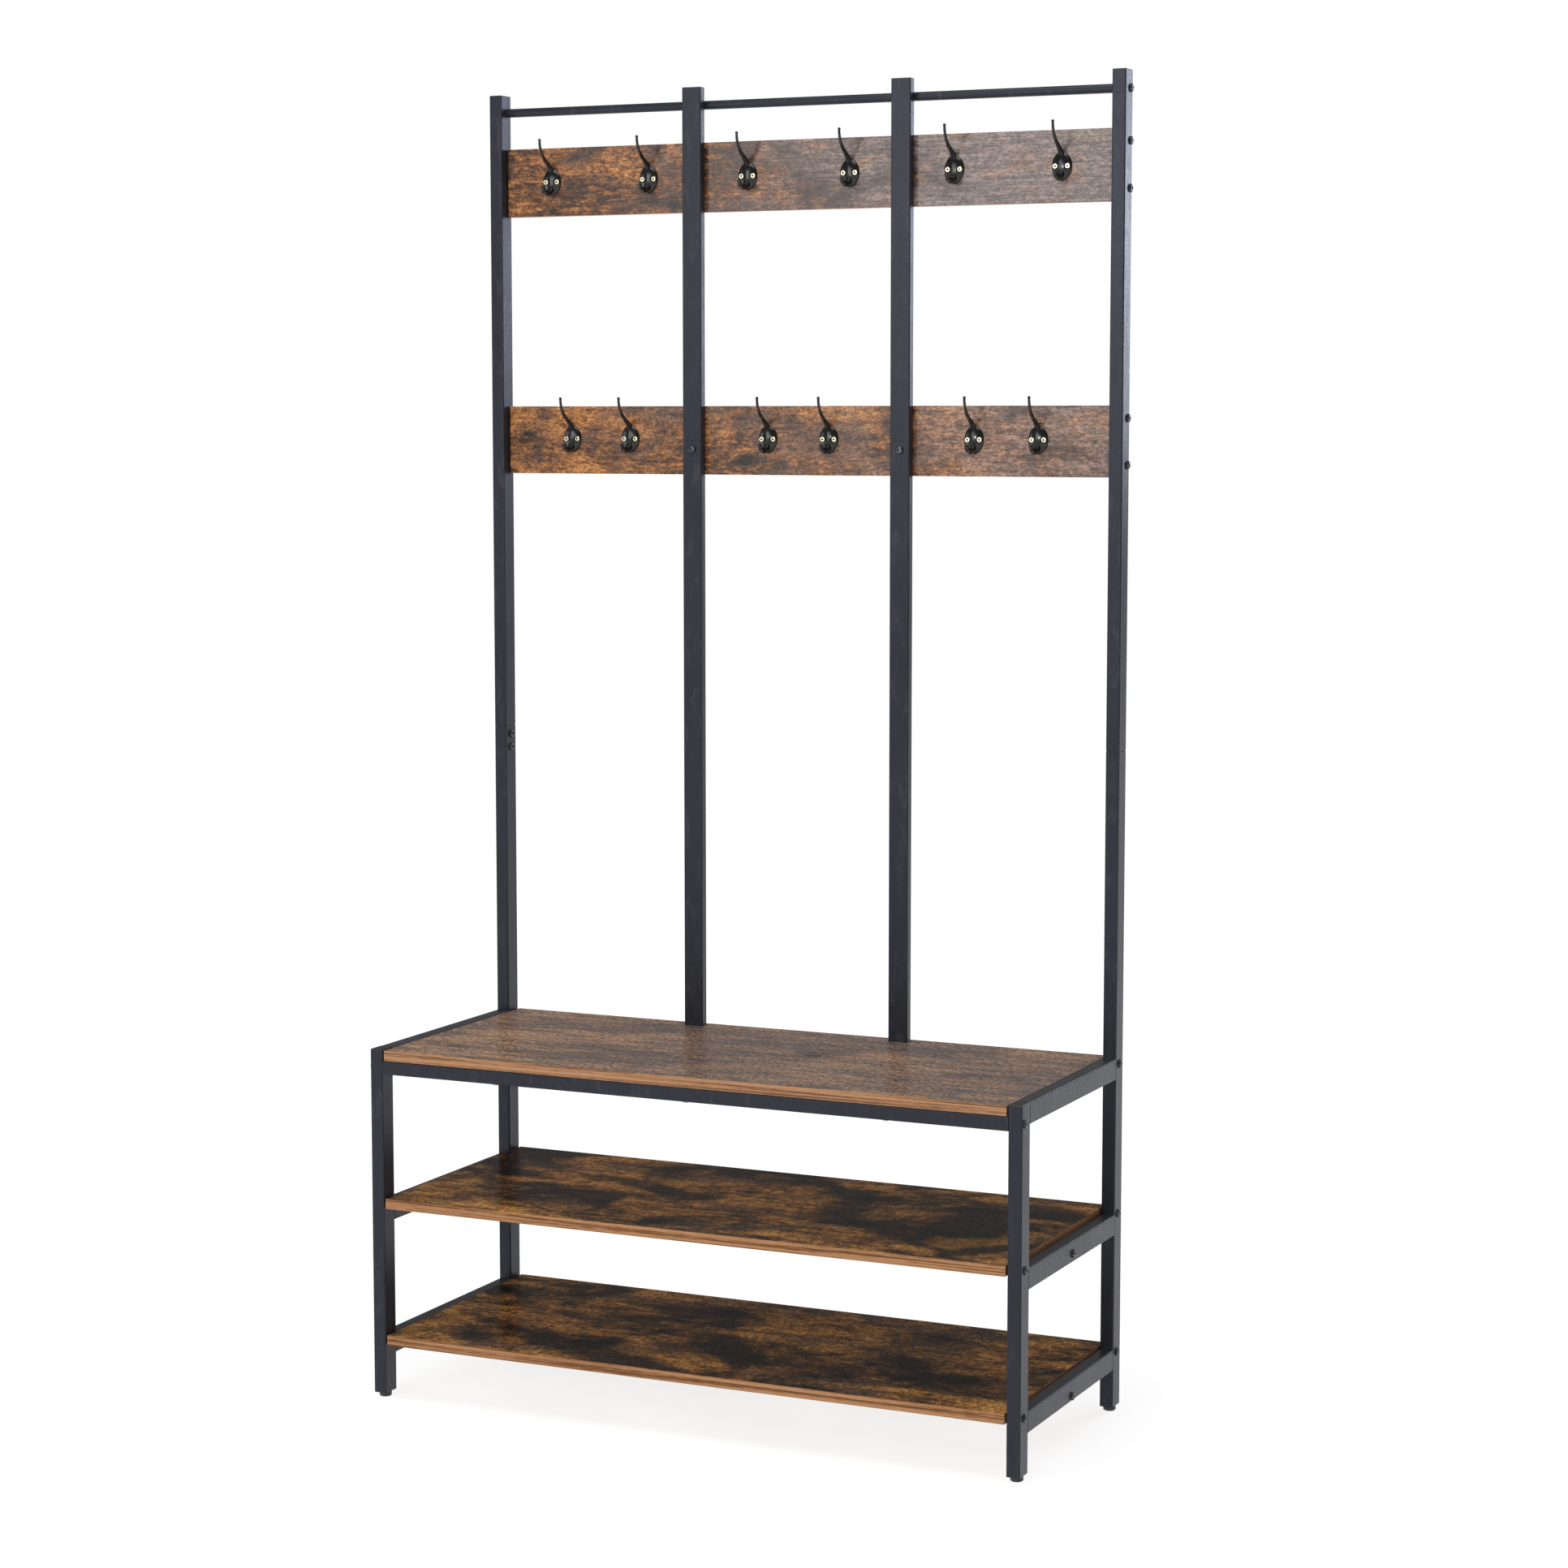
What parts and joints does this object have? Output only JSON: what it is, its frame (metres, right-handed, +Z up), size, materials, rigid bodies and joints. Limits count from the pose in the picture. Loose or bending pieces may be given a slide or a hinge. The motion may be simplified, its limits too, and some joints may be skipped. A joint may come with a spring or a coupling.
{
  "type": "hall tree with hooks",
  "caption": "Tall free-standing hall tree: tubular frame with a bench seat over shoe shelves, hook boards and a hanging rod above.",
  "frame": {"origin": "on the floor at the middle of the footprint, with the levelling feet at rest", "axes": "+X across the width to the right, -Y to the front, +Z up"},
  "size_m": [1.0064, 0.4, 1.89],
  "materials": {
    "frame_paint": "satin black powder coat",
    "rustic_board": "semi-gloss rustic brown laminate with dark smudges",
    "hook_enamel": "gloss black",
    "brass_screw": "pale brass",
    "black_bolt": "black oxide",
    "zinc_hardware": "zinc plated",
    "black_plastic": "moulded matte"
  },
  "bodies": {
    "frame": {"board_inserts": "zinc_hardware", "crossbar_bolts": "black_bolt", "crossbar_end_nuts": "zinc_hardware", "foot_nuts": "zinc_hardware", "front_leg_left": "frame_paint", "front_leg_right": "frame_paint", "hanging_rod": "frame_paint", "hook_board_end_bolts": "black_bolt", "hook_lower_1": "hook_enamel", "hook_lower_2": "hook_enamel", "hook_lower_3": "hook_enamel", "hook_lower_4": "hook_enamel", "hook_lower_5": "hook_enamel", "hook_lower_6": "hook_enamel", "hook_screws": "brass_screw", "hook_upper_1": "hook_enamel", "hook_upper_2": "hook_enamel", "hook_upper_3": "hook_enamel", "hook_upper_4": "hook_enamel", "hook_upper_5": "hook_enamel", "hook_upper_6": "hook_enamel", "lower_hook_board": "rustic_board", "lower_post_left": "frame_paint", "lower_post_right": "frame_paint", "lower_shelf_board": "rustic_board", "lower_shelf_crossbar": "frame_paint", "lower_shelf_side_rail_left": "frame_paint", "lower_shelf_side_rail_right": "frame_paint", "middle_post_caps": "black_plastic", "middle_post_foot_bolts": "black_bolt", "middle_post_foot_nuts": "zinc_hardware", "middle_post_lower_left": "frame_paint", "middle_post_lower_right": "frame_paint", "middle_post_upper_left": "frame_paint", "middle_post_upper_right": "frame_paint", "middle_splice_bolts": "black_bolt", "middle_splice_sleeves": "zinc_hardware", "outer_splice_bolts": "black_bolt", "outer_splice_sleeves": "zinc_hardware", "post_caps": "black_plastic", "rear_board_screws": "zinc_hardware", "rod_bolts": "black_bolt", "rod_end_nuts": "zinc_hardware", "seat_board": "rustic_board", "seat_front_rail": "frame_paint", "seat_screws": "zinc_hardware", "seat_side_rail_left": "frame_paint", "seat_side_rail_right": "frame_paint", "shelf_end_bolts": "black_bolt", "upper_hook_board": "rustic_board", "upper_post_left": "frame_paint", "upper_post_right": "frame_paint", "upper_shelf_board": "rustic_board", "upper_shelf_crossbar": "frame_paint", "upper_shelf_side_rail_left": "frame_paint", "upper_shelf_side_rail_right": "frame_paint"},
    "foot_front_left": {"levelling_foot_front_left": "black_plastic"},
    "foot_front_right": {"levelling_foot_front_right": "black_plastic"},
    "foot_rear_left": {"levelling_foot_rear_left": "black_plastic"},
    "foot_rear_right": {"levelling_foot_rear_right": "black_plastic"}
  },
  "joints": [
    {"name": "foot_front_left_level", "type": "slide", "parent": "frame", "child": "foot_front_left", "axis": [0, 0, -1], "range_m": [0, 0.008]},
    {"name": "foot_front_right_level", "type": "slide", "parent": "frame", "child": "foot_front_right", "axis": [0, 0, -1], "range_m": [0, 0.008]},
    {"name": "foot_rear_left_level", "type": "slide", "parent": "frame", "child": "foot_rear_left", "axis": [0, 0, -1], "range_m": [0, 0.008]},
    {"name": "foot_rear_right_level", "type": "slide", "parent": "frame", "child": "foot_rear_right", "axis": [0, 0, -1], "range_m": [0, 0.008]}
  ]
}
